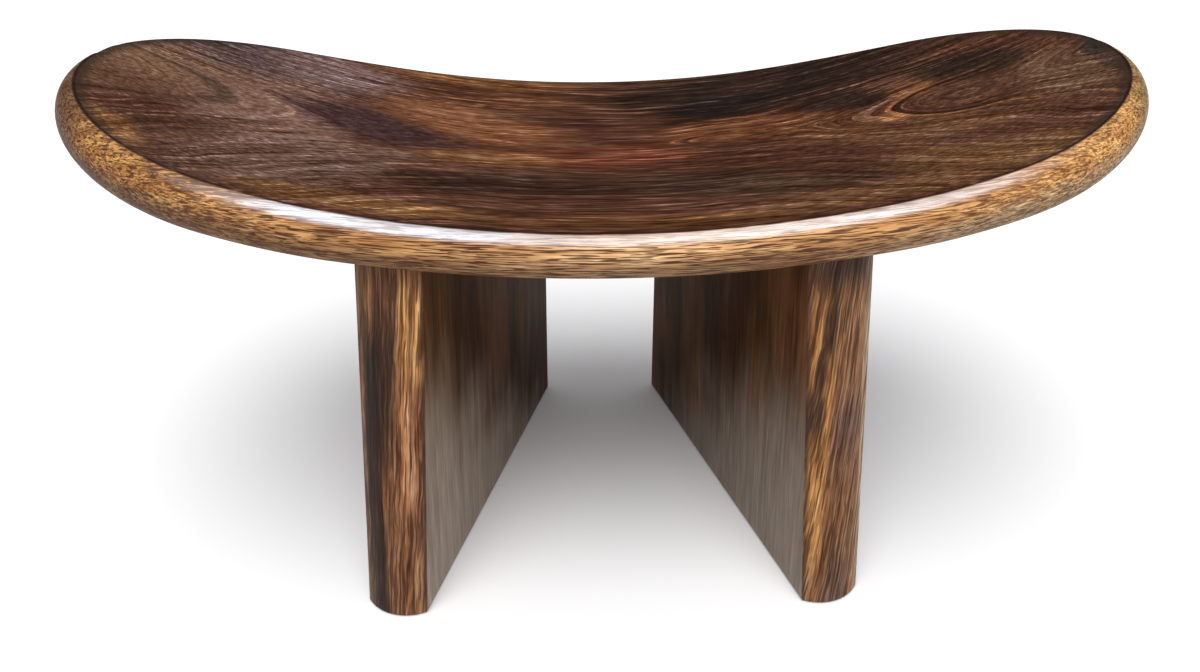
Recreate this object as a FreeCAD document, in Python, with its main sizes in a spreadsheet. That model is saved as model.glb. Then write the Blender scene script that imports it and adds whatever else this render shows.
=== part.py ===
"""Low wooden bench that also serves as a headrest: an upswept oval plank on two slab legs.

Frame, in millimetres: +X runs along the seat, +Y from the near side to the far side, +Z up.
The origin lies on the floor, under the middle of the seat.
"""
import FreeCAD, Part
import math
import os

import Sketcher
from FreeCAD import Vector

# Alias, value in millimetres or degrees, and what the size is.
SIZES = (
    ("seat_length", 450.0, "seat, tip to tip"),
    ("seat_width", 193.0, "seat, near side to far side"),
    ("seat_thickness", 20.4, "plank between its two sawn curves, at mid-length"),
    ("seat_height", 190.7, "floor to the sawn top at mid-length"),
    ("top_curve_radius", 554.0, "sawn top along the seat, centre above"),
    ("underside_radius", 691.0, "sawn underside along the seat, flatter, so the tips are thicker"),
    ("side_radius", 3000.0, "plan outline, long sides"),
    ("tip_inset", 5.9, "plan outline, half the seat's width less the tips' radius"),
    ("shoulder_outset", 175.0, "plan outline, shoulders' radius less half the seat's width"),
    ("rim_flat", 0.4, "upright band between the two rim roundings"),
    ("dish_depth", 3.0, "hollow of the top below its sawn curve, at the middle"),
    ("lip_drop", 0.9, "hollow of the top below its sawn curve, at the long sides"),
    ("leg_thickness", 28.6, "leg slab, face to face"),
    ("leg_inset", 18.0, "half the seat's width less half the leg's, at the joint"),
    ("leg_spread", 130.4, "between the middles of the two legs, under the seat"),
    ("leg_toe_angle", 16.9, "turn of each leg from straight across, far edges together"),
    ("leg_splay_angle", 2.6, "lean of each leg, foot outwards"),
    ("leg_rake_angle", 5.5, "slope of the near and far edges, wider at the foot"),
    ("near_edge_radius", 21.6, "dome of the leg's near edge"),
    ("leg_edge_ease", 2.0, "rounding of the leg's far and foot edges"),
    ("dowel_diameter", 10.0, "hidden dowels between leg and seat"),
    ("dowel_length", 38.0, "whole dowel"),
    ("dowel_reach", 12.0, "part of the dowel that stands in the seat"),
    ("dowel_spacing", 48.0, "dowel to dowel along the leg"),
    ("dowel_chamfer", 1.0, "chamfer of the dowel's ends"),
    ("dowel_clearance", 0.05, "glue gap round a dowel, in radius"),
    ("bore_spare", 0.8, "room past each end of a dowel"),
    ("stock_margin", 10.0, "spare stock that the saw takes off"),
)
DOWEL_PLACES = (("front", -1), ("middle", 0), ("back", 1))

doc = FreeCAD.newDocument("headrest")


def make_sheet():
    """Fill the spreadsheet with the driving sizes, one row each."""
    sheet = doc.addObject("Spreadsheet::Sheet", "Sizes")
    for row, (alias, value, note) in enumerate(SIZES, start=1):
        sheet.set(f"A{row}", str(value))
        sheet.setAlias(f"A{row}", alias)
        sheet.set(f"B{row}", note)
    doc.recompute()
    return sheet


def value_of(alias):
    """A driving size as a plain number, used only for a sketch's starting shape."""
    return float(getattr(doc.Sizes, alias))


# ---------------------------------------------------------------- sketch helpers


def add_sketch(body, name, plane_role, lift=None):
    """A sketch on one of the body's own origin planes, raised by an expression if given."""
    sketch = body.newObject("Sketcher::SketchObject", name)
    plane = next(f for f in body.Origin.OriginFeatures if f.Role == plane_role)
    sketch.AttachmentSupport = [(plane, "")]
    sketch.MapMode = "FlatFace"
    if lift:
        sketch.setExpression("AttachmentOffset.Base.z", lift)
    return sketch


def drive(sketch, kind, refs, start, expression):
    """Add a dimension to a sketch and bind it to the sheet."""
    index = sketch.addConstraint(Sketcher.Constraint(kind, *refs, start))
    sketch.setExpression(f"Constraints[{index}]", expression)


def circle_arc(centre, radius, start, end):
    """An arc of a circle in the sketch plane, anticlockwise, angles in radians."""
    return Part.ArcOfCircle(Part.Circle(centre, Vector(0, 0, 1), radius), start, end)


def chain(sketch, kind, count):
    """Join the first `count` edges end to start, and the last to the first."""
    for edge in range(count):
        sketch.addConstraint(Sketcher.Constraint(kind, edge, 2, (edge + 1) % count, 1))


# ---------------------------------------------------------------- seat

TIP_RADIUS = "(Sizes.seat_width / 2 - Sizes.tip_inset)"
SHOULDER_RADIUS = "(Sizes.seat_width / 2 + Sizes.shoulder_outset)"
END_RISE = "(Sizes.top_curve_radius - sqrt(Sizes.top_curve_radius^2 - (Sizes.seat_length / 2)^2))"
SAW_HALF_LENGTH = "(Sizes.seat_length / 2 + Sizes.stock_margin)"
RIM_RADIUS = "((Sizes.seat_thickness - Sizes.rim_flat) / 2)"
# The dished top meets the rim's rounding where that rounding has dropped by lip_drop.
CREST_HALF_WIDTH = (
    f"(Sizes.seat_width / 2 - {RIM_RADIUS} + sqrt({RIM_RADIUS}^2 - ({RIM_RADIUS} - Sizes.lip_drop)^2))"
)
DISH_RISE = "(Sizes.dish_depth - Sizes.lip_drop)"
DISH_RADIUS = f"(({CREST_HALF_WIDTH}^2 + {DISH_RISE}^2) / (2 * {DISH_RISE}))"
# Half a turn about the long curve's axis takes the hollow past both tips.
DISH_SWEEP = 180.0


def outline_radii():
    """Radii of the plan outline's side, shoulder and tip arcs, from the driving sizes."""
    half_width = value_of("seat_width") / 2
    shoulder = half_width + value_of("shoulder_outset")
    return value_of("side_radius"), shoulder, half_width - value_of("tip_inset")


def outline_start():
    """Starting centres and join angles of the plan outline's arcs, from the driving sizes."""
    side, shoulder, tip = outline_radii()
    tip_centre = Vector(value_of("seat_length") / 2 - tip, 0, 0)
    side_centre = Vector(0, value_of("seat_width") / 2 - side, 0)
    base = tip_centre - side_centre
    to_side, to_tip = side - shoulder, shoulder - tip
    along = (to_side**2 - to_tip**2 + base.Length**2) / (2 * base.Length)
    across = math.sqrt(max(to_side**2 - along**2, 0.0))
    unit = base / base.Length
    shoulder_centre = side_centre + unit * along + Vector(-unit.y, unit.x, 0) * across
    side_join = shoulder_centre - side_centre
    tip_join = tip_centre - shoulder_centre
    return (
        tip_centre,
        shoulder_centre,
        side_centre,
        math.atan2(tip_join.y, tip_join.x),
        math.atan2(side_join.y, side_join.x),
    )


def draw_outline(sketch):
    """The seat's plan: two long side arcs, two tip arcs and four shoulder arcs, all tangent."""
    tip_centre, shoulder_centre, side_centre, tip_join, side_join = outline_start()
    side, shoulder, tip = outline_radii()

    def turned(centre, sign_x, sign_y):
        return Vector(sign_x * centre.x, sign_y * centre.y, 0)

    half, full = math.pi, 2 * math.pi
    arcs = (
        (tip_centre, tip, -tip_join, tip_join),
        (shoulder_centre, shoulder, tip_join, side_join),
        (side_centre, side, side_join, half - side_join),
        (turned(shoulder_centre, -1, 1), shoulder, half - side_join, half - tip_join),
        (turned(tip_centre, -1, 1), tip, half - tip_join, half + tip_join),
        (turned(shoulder_centre, -1, -1), shoulder, half + tip_join, half + side_join),
        (turned(side_centre, 1, -1), side, half + side_join, full - side_join),
        (turned(shoulder_centre, 1, -1), shoulder, full - side_join, full - tip_join),
    )
    for arc in arcs:
        sketch.addGeometry(circle_arc(*arc), False)
    chain(sketch, "Tangent", len(arcs))
    right_tip, far_side, left_tip, near_side = 0, 2, 4, 6
    shoulders = (1, 3, 5, 7)
    for tip_arc in (right_tip, left_tip):
        sketch.addConstraint(Sketcher.Constraint("PointOnObject", tip_arc, 3, -1))
    for side_arc in (far_side, near_side):
        sketch.addConstraint(Sketcher.Constraint("PointOnObject", side_arc, 3, -2))
    sketch.addConstraint(Sketcher.Constraint("Equal", right_tip, left_tip))
    sketch.addConstraint(Sketcher.Constraint("Equal", far_side, near_side))
    for other in shoulders[1:]:
        sketch.addConstraint(Sketcher.Constraint("Equal", shoulders[0], other))
    drive(sketch, "Radius", (right_tip,), tip, TIP_RADIUS)
    drive(sketch, "Radius", (shoulders[0],), shoulder, SHOULDER_RADIUS)
    drive(sketch, "Radius", (far_side,), side, "Sizes.side_radius")
    tip_reach = f"Sizes.seat_length / 2 - {TIP_RADIUS}"
    side_depth = "Sizes.side_radius - Sizes.seat_width / 2"
    drive(sketch, "DistanceX", (-1, 1, right_tip, 3), tip_centre.x, tip_reach)
    drive(sketch, "DistanceX", (left_tip, 3, -1, 1), tip_centre.x, tip_reach)
    drive(sketch, "DistanceY", (far_side, 3, -1, 1), -side_centre.y, side_depth)
    drive(sketch, "DistanceY", (-1, 1, near_side, 3), -side_centre.y, side_depth)


def draw_saw_cut(sketch, radius_name, low_point, low_expression, limit, limit_expression):
    """The waste on one side of a long curve: an arc centred above its low point, closed by a level line."""
    radius = value_of(radius_name)
    centre_height = low_point + radius
    reach = value_of("seat_length") / 2 + value_of("stock_margin")
    lean = math.asin(reach / radius)
    low = 1.5 * math.pi
    end_height = centre_height - radius * math.cos(lean)
    sketch.addGeometry(circle_arc(Vector(0, centre_height, 0), radius, low - lean, low + lean), False)
    corners = (
        Vector(reach, end_height, 0),
        Vector(reach, limit, 0),
        Vector(-reach, limit, 0),
        Vector(-reach, end_height, 0),
    )
    for start, end in zip(corners, corners[1:]):
        sketch.addGeometry(Part.LineSegment(start, end), False)
    chain(sketch, "Coincident", 4)
    sketch.addConstraint(Sketcher.Constraint("PointOnObject", 0, 3, -2))
    for upright in (1, 3):
        sketch.addConstraint(Sketcher.Constraint("Vertical", upright))
    sketch.addConstraint(Sketcher.Constraint("Horizontal", 2))
    drive(sketch, "Radius", (0,), radius, f"Sizes.{radius_name}")
    drive(sketch, "DistanceY", (-1, 1, 0, 3), centre_height, f"{low_expression} + Sizes.{radius_name}")
    drive(sketch, "DistanceX", (-1, 1, 1, 1), reach, SAW_HALF_LENGTH)
    drive(sketch, "DistanceX", (3, 1, -1, 1), reach, SAW_HALF_LENGTH)
    drive(sketch, "DistanceY", (-1, 1, 2, 1), limit, limit_expression)


def cut_through(body, name, sketch, width_expression):
    """Pocket a sketch right through the body, both ways, and prove that it took something off."""
    before = body.Tip.Shape.Volume
    pocket = body.newObject("PartDesign::Pocket", name)
    pocket.Profile = sketch
    pocket.SideType = "Symmetric"
    pocket.setExpression("Length", width_expression)
    doc.recompute()
    if not pocket.Shape.Volume < before:
        raise RuntimeError(f"{name} cut nothing")
    return pocket


def rim_edges(shape):
    """Names of the edges round both sawn faces, which are the two cylinders across the seat."""
    names = []
    for face in shape.Faces:
        surface = face.Surface
        if surface.TypeId != "Part::GeomCylinder" or abs(surface.Axis.y) < 0.5:
            continue
        for edge in face.OuterWire.Edges:
            names += [f"Edge{i}" for i, e in enumerate(shape.Edges, start=1) if e.isSame(edge)]
    return names


def draw_dish(sketch):
    """The hollow across the seat, with the axis it turns about: the centre of the long curve."""
    rim = (value_of("seat_thickness") - value_of("rim_flat")) / 2
    drop, depth = value_of("lip_drop"), value_of("dish_depth")
    crest = value_of("seat_width") / 2 - rim + math.sqrt(rim**2 - (rim - drop) ** 2)
    radius = (crest**2 + (depth - drop) ** 2) / (2 * (depth - drop))
    top = value_of("seat_thickness") / 2
    reach = math.sqrt(radius**2 - (radius - depth - top) ** 2)
    lean = math.asin(reach / radius)
    low = 1.5 * math.pi
    sketch.addGeometry(circle_arc(Vector(0, radius - depth, 0), radius, low - lean, low + lean), False)
    sketch.addGeometry(Part.LineSegment(Vector(reach, top, 0), Vector(-reach, top, 0)), False)
    chain(sketch, "Coincident", 2)
    sketch.addConstraint(Sketcher.Constraint("PointOnObject", 0, 3, -2))
    sketch.addConstraint(Sketcher.Constraint("Horizontal", 1))
    drive(sketch, "Radius", (0,), radius, DISH_RADIUS)
    drive(sketch, "DistanceY", (-1, 1, 0, 3), radius - depth, f"{DISH_RADIUS} - Sizes.dish_depth")
    drive(sketch, "DistanceY", (-1, 1, 1, 1), top, "Sizes.seat_thickness / 2")
    height = value_of("top_curve_radius")
    axis_half = value_of("stock_margin")
    ends = (Vector(-axis_half, height, 0), Vector(axis_half, height, 0))
    axis = sketch.addGeometry(Part.LineSegment(*ends), True)
    sketch.addConstraint(Sketcher.Constraint("Symmetric", axis, 1, axis, 2, -2))
    drive(sketch, "DistanceY", (-1, 1, axis, 1), height, "Sizes.top_curve_radius")
    drive(sketch, "DistanceX", (axis, 1, axis, 2), 2 * axis_half, "2 * Sizes.stock_margin")


def make_seat_plank():
    """The seat before its dowel bores: outline, two sawn curves, round rim and dished top."""
    body = doc.addObject("PartDesign::Body", "seat_plank")
    body.setExpression("Placement.Base.z", "Sizes.seat_height")

    outline = add_sketch(body, "outline", "XY_Plane", "-Sizes.seat_thickness - Sizes.stock_margin")
    draw_outline(outline)
    blank = body.newObject("PartDesign::Pad", "blank")
    blank.Profile = outline
    blank.setExpression("Length", f"Sizes.seat_thickness + {END_RISE} + 2 * Sizes.stock_margin")
    doc.recompute()

    top_radius = value_of("top_curve_radius")
    thickness, margin = value_of("seat_thickness"), value_of("stock_margin")
    half_length = value_of("seat_length") / 2
    rise = top_radius - math.sqrt(top_radius**2 - half_length**2)
    saw_width = "Sizes.seat_width + 2 * Sizes.stock_margin"
    top_saw = add_sketch(body, "top_saw_line", "XZ_Plane")
    draw_saw_cut(
        top_saw,
        "top_curve_radius",
        0.0,
        "0",
        rise + 2 * margin,
        f"{END_RISE} + 2 * Sizes.stock_margin",
    )
    cut_through(body, "top_curve", top_saw, saw_width)

    under_saw = add_sketch(body, "underside_saw_line", "XZ_Plane")
    draw_saw_cut(
        under_saw,
        "underside_radius",
        -thickness,
        "-Sizes.seat_thickness",
        -thickness - 2 * margin,
        "-Sizes.seat_thickness - 2 * Sizes.stock_margin",
    )
    under_cut = cut_through(body, "underside_curve", under_saw, saw_width)

    rounding = body.newObject("PartDesign::Fillet", "rim_rounding")
    rounding.Base = (under_cut, rim_edges(under_cut.Shape))
    rounding.setExpression("Radius", RIM_RADIUS)
    doc.recompute()

    dish_sketch = add_sketch(body, "dish_section", "YZ_Plane")
    draw_dish(dish_sketch)
    before = body.Tip.Shape.Volume
    dish = body.newObject("PartDesign::Groove", "dished_top")
    dish.Profile = dish_sketch
    dish.ReferenceAxis = (dish_sketch, ["Axis0"])
    dish.Midplane = True
    dish.Angle = DISH_SWEEP
    doc.recompute()
    if not dish.Shape.Volume < before:
        raise RuntimeError("dished_top cut nothing")
    return body


# ---------------------------------------------------------------- legs and dowels

# Height of the seat's underside over the middle of a leg: the leg's own origin.
UNDERSIDE_CENTRE = "(Sizes.seat_height - Sizes.seat_thickness + Sizes.underside_radius)"
JOINT_HEIGHT = f"({UNDERSIDE_CENTRE} - sqrt(Sizes.underside_radius^2 - (Sizes.leg_spread / 2)^2))"
LEG_FRAME = (
    f"create(<<placement>>; create(<<vector>>; Sizes.leg_spread / 2; 0; {JOINT_HEIGHT}); "
    "create(<<rotation>>; Sizes.leg_toe_angle; -Sizes.leg_splay_angle; 0))"
)
LEG_HALF_WIDTH = "(Sizes.seat_width / 2 - Sizes.leg_inset)"
STOCK_ABOVE = "Sizes.seat_thickness"
STOCK_BELOW = (
    f"({JOINT_HEIGHT} / cos(Sizes.leg_splay_angle) "
    "+ Sizes.leg_thickness / 2 * tan(Sizes.leg_splay_angle) + Sizes.stock_margin)"
)


def joint_height():
    """JOINT_HEIGHT as a number, for starting shapes."""
    radius = value_of("underside_radius")
    centre = value_of("seat_height") - value_of("seat_thickness") + radius
    return centre - math.sqrt(radius**2 - (value_of("leg_spread") / 2) ** 2)


def draw_leg_section(sketch, half_width, half_expression):
    """A level slice of the leg: flat faces and far edge, and a domed near edge."""
    half_thick = value_of("leg_thickness") / 2
    dome = value_of("near_edge_radius")
    lean = math.asin(half_thick / dome)
    centre = Vector(0, -half_width + dome * math.cos(lean), 0)
    low = 1.5 * math.pi
    sketch.addGeometry(circle_arc(centre, dome, low - lean, low + lean), False)
    corners = (
        Vector(half_thick, -half_width, 0),
        Vector(half_thick, half_width, 0),
        Vector(-half_thick, half_width, 0),
        Vector(-half_thick, -half_width, 0),
    )
    for start, end in zip(corners, corners[1:]):
        sketch.addGeometry(Part.LineSegment(start, end), False)
    chain(sketch, "Coincident", 4)
    for face in (1, 3):
        sketch.addConstraint(Sketcher.Constraint("Vertical", face))
    sketch.addConstraint(Sketcher.Constraint("Horizontal", 2))
    sketch.addConstraint(Sketcher.Constraint("PointOnObject", 0, 3, -2))
    drive(sketch, "Radius", (0,), dome, "Sizes.near_edge_radius")
    drive(sketch, "DistanceX", (-1, 1, 1, 1), half_thick, "Sizes.leg_thickness / 2")
    drive(sketch, "DistanceY", (-1, 1, 1, 2), half_width, half_expression)
    drive(sketch, "DistanceY", (1, 1, -1, 1), half_width, half_expression)


def draw_floor_cut(sketch):
    """The waste under the foot: below the level floor, which slopes in the leaning leg's frame."""
    lean = math.radians(value_of("leg_splay_angle"))
    reach = value_of("leg_thickness") / 2 + value_of("stock_margin")
    floor = joint_height() / math.cos(lean)
    bottom = -floor - reach * math.tan(lean) - 2 * value_of("stock_margin")
    corners = (
        Vector(-reach, -floor + reach * math.tan(lean), 0),
        Vector(-reach, bottom, 0),
        Vector(reach, bottom, 0),
        Vector(reach, -floor - reach * math.tan(lean), 0),
    )
    for step, start in enumerate(corners):
        sketch.addGeometry(Part.LineSegment(start, corners[(step + 1) % 4]), False)
    chain(sketch, "Coincident", 4)
    for upright in (0, 2):
        sketch.addConstraint(Sketcher.Constraint("Vertical", upright))
    sketch.addConstraint(Sketcher.Constraint("Horizontal", 1))
    reach_expression = "(Sizes.leg_thickness / 2 + Sizes.stock_margin)"
    floor_expression = f"{JOINT_HEIGHT} / cos(Sizes.leg_splay_angle)"
    slope_expression = f"{reach_expression} * tan(Sizes.leg_splay_angle)"
    slope = reach * math.tan(lean)
    drive(sketch, "DistanceX", (0, 1, -1, 1), reach, reach_expression)
    drive(sketch, "DistanceX", (-1, 1, 2, 1), reach, reach_expression)
    drive(sketch, "DistanceY", (0, 1, -1, 1), floor - slope, f"{floor_expression} - {slope_expression}")
    drive(sketch, "DistanceY", (2, 2, -1, 1), floor + slope, f"{floor_expression} + {slope_expression}")
    deep_expression = f"{floor_expression} + {slope_expression} + 2 * Sizes.stock_margin"
    drive(sketch, "DistanceY", (1, 1, -1, 1), -bottom, deep_expression)


def eased_edges(shape):
    """Names of the leg's foot edges and its two far corners, seen in the leg's own frame."""
    foot = min(shape.Faces, key=lambda face: face.CenterOfMass.z)
    far = max(shape.Faces, key=lambda face: face.CenterOfMass.y)
    sides = [e for e in far.OuterWire.Edges if abs(e.tangentAt(e.FirstParameter).x) < 0.5]
    wanted = foot.OuterWire.Edges + sides
    names = []
    for index, edge in enumerate(shape.Edges, start=1):
        if any(edge.isSame(other) for other in wanted):
            names.append(f"Edge{index}")
    return names


def make_leg_board():
    """The right leg before its top is coped and bored."""
    body = doc.addObject("PartDesign::Body", "leg_board")
    half = value_of("seat_width") / 2 - value_of("leg_inset")
    slope = math.tan(math.radians(value_of("leg_rake_angle")))
    above = value_of("seat_thickness")
    below = joint_height() + value_of("stock_margin")
    levels = (
        ("top_section", STOCK_ABOVE, half - above * slope),
        ("foot_section", f"-{STOCK_BELOW}", half + below * slope),
    )
    sections = []
    for name, lift, start in levels:
        section = add_sketch(body, name, "XY_Plane", lift)
        draw_leg_section(section, start, f"{LEG_HALF_WIDTH} - ({lift}) * tan(Sizes.leg_rake_angle)")
        sections.append(section)
    doc.recompute()
    slab = body.newObject("PartDesign::AdditiveLoft", "slab")
    slab.Profile = sections[0]
    slab.Sections = [sections[1]]
    slab.Ruled = True
    doc.recompute()

    floor_line = add_sketch(body, "floor_line", "XZ_Plane")
    draw_floor_cut(floor_line)
    trimmed = cut_through(body, "foot_trim", floor_line, "2 * Sizes.seat_width")

    easing = body.newObject("PartDesign::Fillet", "eased_edges")
    easing.Base = (trimmed, eased_edges(trimmed.Shape))
    easing.setExpression("Radius", "Sizes.leg_edge_ease")
    body.setExpression("Placement", LEG_FRAME)
    doc.recompute()
    return body


def dowel_frame(step, lift):
    """Placement expression in a leg's frame: `step` spacings along the leg, raised by `lift`."""
    offset = f"create(<<vector>>; 0; {step} * Sizes.dowel_spacing; {lift})"
    return f"{LEG_FRAME} * create(<<placement>>; {offset}; create(<<rotation>>; 0; 0; 0))"


def make_dowel_bore(place, step):
    """The hole for one dowel, through leg and seat alike."""
    bore = doc.addObject("Part::Cylinder", f"bore_{place}")
    bore.setExpression("Radius", "Sizes.dowel_diameter / 2 + Sizes.dowel_clearance")
    bore.setExpression("Height", "Sizes.dowel_length + 2 * Sizes.bore_spare")
    lift = "Sizes.dowel_reach - Sizes.dowel_length - Sizes.bore_spare"
    bore.setExpression("Placement", dowel_frame(step, lift))
    return bore


def make_dowel(place, step):
    """One chamfered dowel, upright in its own frame and placed in the right leg."""
    body = doc.addObject("PartDesign::Body", f"right_leg_dowel_{place}")
    section = add_sketch(body, f"dowel_section_{place}", "XY_Plane")
    radius = value_of("dowel_diameter") / 2
    section.addGeometry(Part.Circle(Vector(0, 0, 0), Vector(0, 0, 1), radius), False)
    section.addConstraint(Sketcher.Constraint("Coincident", 0, 3, -1, 1))
    drive(section, "Radius", (0,), radius, "Sizes.dowel_diameter / 2")
    peg = body.newObject("PartDesign::Pad", f"peg_{place}")
    peg.Profile = section
    peg.setExpression("Length", "Sizes.dowel_length")
    doc.recompute()
    ends = [f"Edge{i}" for i, e in enumerate(peg.Shape.Edges, start=1) if e.isClosed()]
    chamfer = body.newObject("PartDesign::Chamfer", f"peg_chamfer_{place}")
    chamfer.Base = (peg, ends)
    chamfer.setExpression("Size", "Sizes.dowel_chamfer")
    body.setExpression("Placement", dowel_frame(step, "Sizes.dowel_reach - Sizes.dowel_length"))
    return body


def mirror_left(source, name):
    """The left-hand twin of a right-hand object, across the seat's middle plane."""
    twin = doc.addObject("Part::Mirroring", name)
    twin.Source = source
    twin.Base = Vector(0, 0, 0)
    twin.Normal = Vector(1, 0, 0)
    return twin


def make_cope():
    """The seat's underside as a drum, which hollows the tops of the legs to fit it."""
    drum = doc.addObject("Part::Cylinder", "underside_drum")
    drum.setExpression("Radius", "Sizes.underside_radius")
    drum.setExpression("Height", "2 * Sizes.seat_width")
    centre = f"create(<<vector>>; 0; -Sizes.seat_width; {UNDERSIDE_CENTRE})"
    drum.setExpression("Placement", f"create(<<placement>>; {centre}; create(<<rotation>>; 0; 0; -90))")
    return drum


def fused(name, shapes):
    """One tool made of several."""
    tool = doc.addObject("Part::MultiFuse", name)
    tool.Shapes = shapes
    return tool


def cut(name, base, tool):
    """A named sub-part: base less tool."""
    result = doc.addObject("Part::Cut", name)
    result.Base = base
    result.Tool = tool
    return result


def build():
    """Make every sub-part and return them as node name to object."""
    make_sheet()
    plank = make_seat_plank()
    board = make_leg_board()

    bores = [make_dowel_bore(place, step) for place, step in DOWEL_PLACES]
    right_bores = fused("right_bores", bores)
    left_bores = mirror_left(right_bores, "left_bores")
    seat = cut("seat", plank, fused("seat_bores", [right_bores, left_bores]))
    right_leg = cut("right_leg", board, fused("leg_top_tool", [make_cope(), right_bores]))
    parts = {"seat": seat, "right_leg": right_leg, "left_leg": mirror_left(right_leg, "left_leg")}
    for place, step in DOWEL_PLACES:
        dowel = make_dowel(place, step)
        parts[f"right_leg_dowel_{place}"] = dowel
        parts[f"left_leg_dowel_{place}"] = mirror_left(dowel, f"left_leg_dowel_{place}")
    doc.recompute()
    for name, part in parts.items():
        part.Label = name
    return parts


def check(parts):
    """Stop if any object failed, or any sub-part isn't one valid solid."""
    for item in doc.Objects:
        if "Invalid" in item.State or "Error" in item.State:
            raise RuntimeError(f"{item.Name} failed: {item.State}")
    for name, part in parts.items():
        if part.Shape.isNull() or not part.Shape.isValid() or len(part.Shape.Solids) != 1:
            raise RuntimeError(f"{name} isn't one valid solid")


def export(parts):
    """Write one STEP file for each sub-part."""
    os.makedirs("parts", exist_ok=True)
    for name, part in parts.items():
        part.Shape.exportStep(f"parts/{name}.step")
        box = part.Shape.BoundBox
        print(f"{name}: {part.Shape.Volume / 1000:.1f} cm3, "
              f"x {box.XMin:.2f}..{box.XMax:.2f}, y {box.YMin:.2f}..{box.YMax:.2f}, "
              f"z {box.ZMin:.2f}..{box.ZMax:.2f}")


sub_parts = build()
check(sub_parts)
export(sub_parts)
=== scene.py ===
"""Low upswept wooden bench that also serves as a headrest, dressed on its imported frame.

The seat and both legs are modelled again here as finer meshes with the same outlines; the six
hidden dowels keep their own meshes. All sizes are in metres unless a name ends in _mm.
"""
import logging
import math
from collections.abc import Callable, Sequence
from dataclasses import dataclass, field
from enum import Enum
from itertools import starmap

import bmesh
import bpy
from bpy.types import Material, NodeSocket, Object, World
from mathutils import Euler, Matrix, Vector, noise


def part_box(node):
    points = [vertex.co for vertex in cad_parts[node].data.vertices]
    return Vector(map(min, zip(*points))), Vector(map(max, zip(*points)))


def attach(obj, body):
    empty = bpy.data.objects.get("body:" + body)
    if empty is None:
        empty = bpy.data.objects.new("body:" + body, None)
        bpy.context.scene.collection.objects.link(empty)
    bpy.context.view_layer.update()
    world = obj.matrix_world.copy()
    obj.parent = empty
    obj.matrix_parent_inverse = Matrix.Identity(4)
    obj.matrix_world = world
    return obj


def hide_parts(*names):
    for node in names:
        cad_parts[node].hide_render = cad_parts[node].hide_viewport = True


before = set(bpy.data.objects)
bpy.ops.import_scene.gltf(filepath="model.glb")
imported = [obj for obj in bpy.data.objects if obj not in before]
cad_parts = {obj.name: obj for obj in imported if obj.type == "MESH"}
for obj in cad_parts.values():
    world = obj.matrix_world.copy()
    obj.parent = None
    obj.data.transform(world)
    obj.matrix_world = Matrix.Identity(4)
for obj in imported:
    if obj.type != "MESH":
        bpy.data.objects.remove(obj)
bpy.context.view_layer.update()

LOG = logging.getLogger("bench")
MM = 0.001
SHARP_EDGE = math.radians(28)
NOISE_STRIDES = 1.7, 3.1, 5.3
DASH_STRIDES = 2.3, 4.1, 6.7
Colour = tuple[float, float, float, float]
Display = tuple[int, int, int]
Triple = tuple[float, float, float]
Row = tuple[float, float, float, float]


class Zone(Enum):
    """The three stretches of the seat's surface, from the middle of the top outwards."""

    TOP = "top"
    RIM = "rim"
    UNDER = "under"


class Side(Enum):
    """Which leg a piece belongs to, as the sign of its X."""

    LEFT = -1
    RIGHT = 1


# -------- shader helpers


def tone(red: float, green: float, blue: float) -> Colour:
    """Turn a display colour into the linear colour that shaders take.

    Args:
        red, green, blue: display values from 0 to 255.

    Returns:
        The linear colour with an alpha of 1.
    """
    def linear(value: float) -> float:
        """One display channel in linear light."""
        level = value / 255
        return level / 12.92 if level <= 0.04045 else ((level + 0.055) / 1.055) ** 2.4

    return linear(red), linear(green), linear(blue), 1


def arithmetic(operation: str, reflected: bool = False) -> Callable:
    """Make the method behind an arithmetic sign; reflected puts the other value first."""
    return lambda here, other: here.math(operation, *((other, here) if reflected else (here, other)))


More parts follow.
